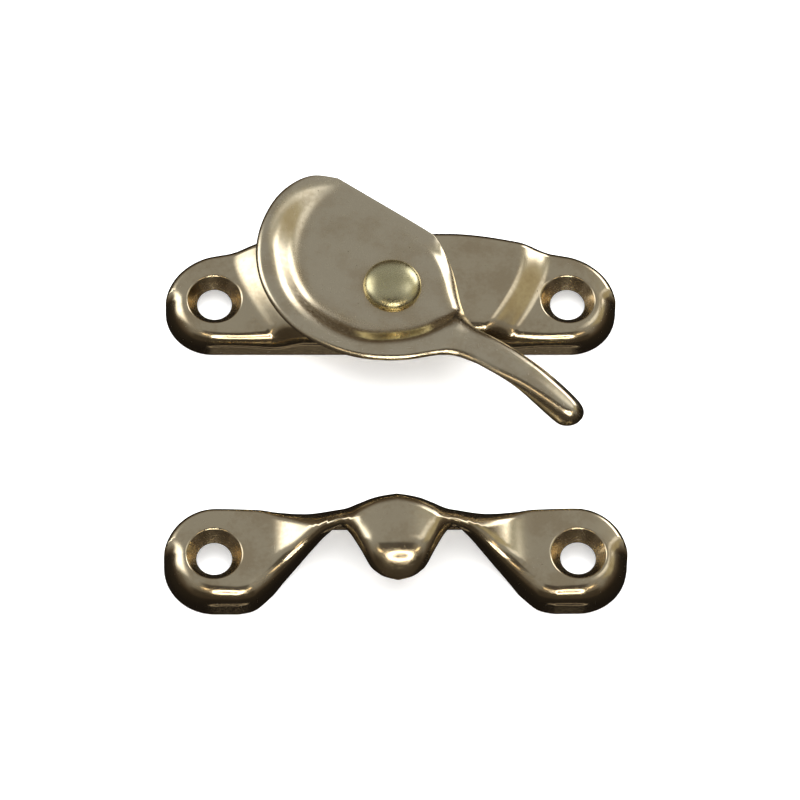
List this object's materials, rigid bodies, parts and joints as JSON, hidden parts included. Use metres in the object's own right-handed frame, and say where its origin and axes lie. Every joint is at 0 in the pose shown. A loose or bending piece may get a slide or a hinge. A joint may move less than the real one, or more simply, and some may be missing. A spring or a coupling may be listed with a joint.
{
  "type": "cam sash fastener with keeper",
  "caption": "Pressed brass cam sash fastener: a dished cam with a thumb lever turns on a rivet to draw in the tongue of its separate keeper plate.",
  "frame": {"origin": "on the mounting plane, in the middle of the two plates set side by side as bought", "axes": "+X along the plates, towards the open end of the lever; +Y from the keeper to the lock; +Z out of the sash, up from the mounting plane"},
  "size_m": [0.0634, 0.0653, 0.0118],
  "materials": {
    "plate_brass": "polished and lacquered",
    "cam_brass": "polished, slightly satin",
    "rivet_brass": "polished, yellower",
    "washer_steel": "plain"
  },
  "bodies": {
    "lock_base": {"base_shell": "plate_brass", "spring_washer": "washer_steel", "friction_washer": "washer_steel"},
    "cam": {"cam_lever": "cam_brass", "pivot_rivet": "rivet_brass", "backing_burr": "rivet_brass"},
    "keeper": {"keeper_plate": "plate_brass"}
  },
  "joints": [
    {"name": "cam_turn", "type": "hinge", "parent": "lock_base", "child": "cam", "pos_m": [0, 0.0146, 0.0074], "axis": [0, 0, 1], "range_deg": [-145, 35]},
    {"name": "sash_slide", "type": "slide", "parent": "lock_base", "child": "keeper", "axis": [0, 0, 1], "range_m": [0, 0.04]}
  ]
}
